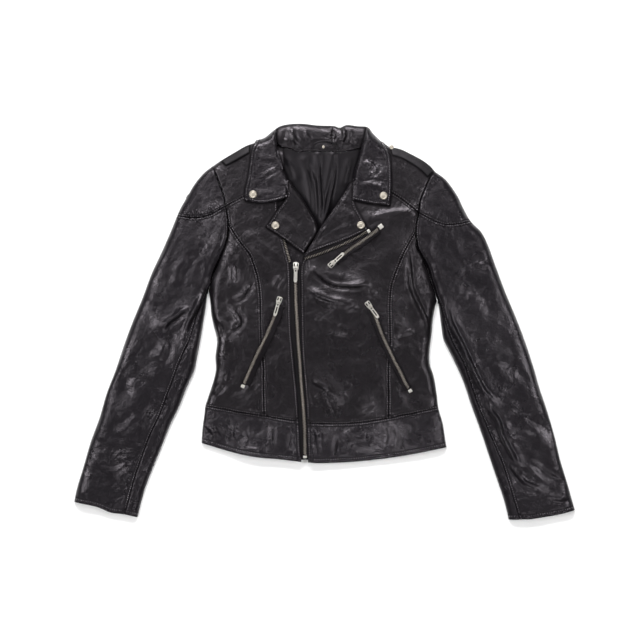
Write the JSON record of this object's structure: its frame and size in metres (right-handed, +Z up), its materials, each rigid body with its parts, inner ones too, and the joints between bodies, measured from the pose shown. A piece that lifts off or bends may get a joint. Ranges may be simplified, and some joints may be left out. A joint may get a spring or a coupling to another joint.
{
  "type": "biker jacket",
  "caption": "Leather biker jacket laid flat on its back, asymmetric front zip half open, lapels turned back with snaps, zipped pockets, open cuffs and hem.",
  "frame": {"origin": "centre of the jacket's outline on the surface it lies on, at that surface's height", "axes": "+Z up from the surface; +Y towards the collar; +X towards the wearer's left sleeve"},
  "size_m": [0.904, 0.7151, 0.0292],
  "materials": {
    "leather": "soft matt black nappa",
    "lining": "black satin",
    "tape": "black woven zip tape",
    "teeth": "nickel-plated zip teeth",
    "nickel": "polished nickel plate"
  },
  "bodies": {
    "jacket": {"side_right": "leather", "front_right": "leather", "yoke_right": "leather", "band_right": "leather", "sleeve_upper_right": "leather", "sleeve_turn_right": "leather", "sleeve_patch_right": "leather", "sleeve_under_right": "leather", "side_left": "leather", "front_left": "leather", "yoke_left": "leather", "band_left": "leather", "sleeve_upper_left": "leather", "sleeve_turn_left": "leather", "sleeve_patch_left": "leather", "sleeve_under_left": "leather", "back_panel": "leather", "band_back": "leather", "collar_fall": "leather", "lining_back": "lining", "collar_band": "leather", "zip_tape_right": "tape", "zip_tape_left": "tape", "zip_chain": "teeth", "zip_half_right": "tape", "zip_half_left": "tape", "pocket_chest_zip": "teeth", "pocket_chest_lip_front": "leather", "pocket_chest_lip_side": "leather", "pocket_right_zip": "teeth", "pocket_right_lip_front": "leather", "pocket_right_lip_side": "leather", "pocket_left_zip": "teeth", "pocket_left_lip_front": "leather", "pocket_left_lip_side": "leather", "lapel_right": "leather", "lapel_left": "leather", "epaulette_right": "leather", "epaulette_left": "leather", "collar_leaf_right": "leather", "collar_leaf_left": "leather", "hanger_loop": "lining", "snap_collar_right": "nickel", "snap_collar_left": "nickel", "snap_lapel_right": "nickel", "snap_lapel_left": "nickel", "hanger_rivet": "nickel", "main_bottom_stop": "nickel", "main_top_stop": "nickel", "pocket_chest_stop": "nickel", "pocket_right_stop": "nickel", "pocket_left_stop": "nickel", "main_slider": "nickel", "pocket_chest_slider": "nickel", "pocket_right_slider": "nickel", "pocket_left_slider": "nickel"},
    "main_pull": {"main_pull": "nickel"},
    "pocket_chest_pull": {"pocket_chest_pull": "nickel"},
    "pocket_right_pull": {"pocket_right_pull": "nickel"},
    "pocket_left_pull": {"pocket_left_pull": "nickel"}
  },
  "joints": [
    {"name": "main_pull_hinge", "type": "hinge", "parent": "jacket", "child": "main_pull", "pos_m": [-0.05155, 0.097, 0.0219], "axis": [-0.9997, 0.0257, 0], "range_deg": [0, 120]},
    {"name": "pocket_chest_pull_hinge", "type": "hinge", "parent": "jacket", "child": "pocket_chest_pull", "pos_m": [0.01467, 0.10436, 0.02429], "axis": [0.6775, -0.7355, 0], "range_deg": [0, 120]},
    {"name": "pocket_right_pull_hinge", "type": "hinge", "parent": "jacket", "child": "pocket_right_pull", "pos_m": [-0.08205, 0.03568, 0.02385], "axis": [-0.9611, 0.2762, 0], "range_deg": [0, 120]},
    {"name": "pocket_left_pull_hinge", "type": "hinge", "parent": "jacket", "child": "pocket_left_pull", "pos_m": [0.08039, 0.02819, 0.02415], "axis": [-0.8029, -0.5961, 0], "range_deg": [0, 120]}
  ]
}
